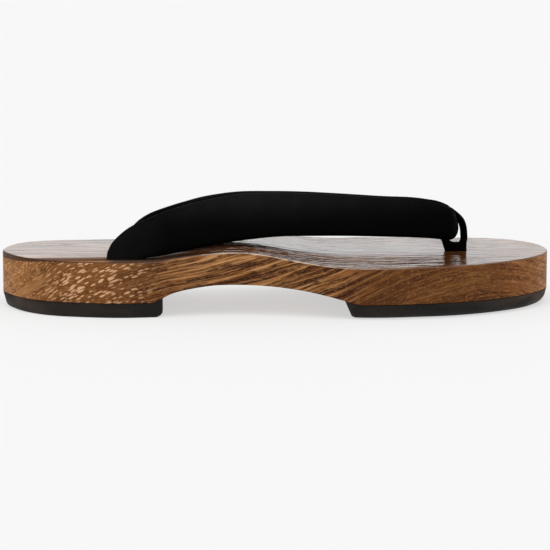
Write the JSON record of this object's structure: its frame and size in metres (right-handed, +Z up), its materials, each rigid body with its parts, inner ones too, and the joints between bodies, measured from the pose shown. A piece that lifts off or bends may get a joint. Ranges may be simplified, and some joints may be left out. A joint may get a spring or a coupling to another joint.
{
  "type": "geta sandal",
  "caption": "Low wooden geta sandal: a foot-shaped deck humped over the arch, on rubber pads under heel and forefoot, with a padded thong strap folded at the nose and held by a toe loop.",
  "frame": {"origin": "on the floor, at the middle of the bounding box", "axes": "+X from heel to toe, +Y towards the inner side of the foot, +Z up"},
  "size_m": [0.27, 0.0916, 0.0557],
  "materials": {
    "figured_wood": "figured mid-brown hardwood with satin sides and a glossy lacquered top",
    "sole_rubber": "matt charcoal-brown sole rubber",
    "strap_leather": "smooth black padded leather, satin",
    "loop_fabric": "black velvet-like fabric"
  },
  "bodies": {
    "root": {"deck": "figured_wood", "heel_pad": "sole_rubber", "forefoot_pad": "sole_rubber", "strap": "strap_leather", "toe_loop": "loop_fabric"}
  },
  "joints": []
}
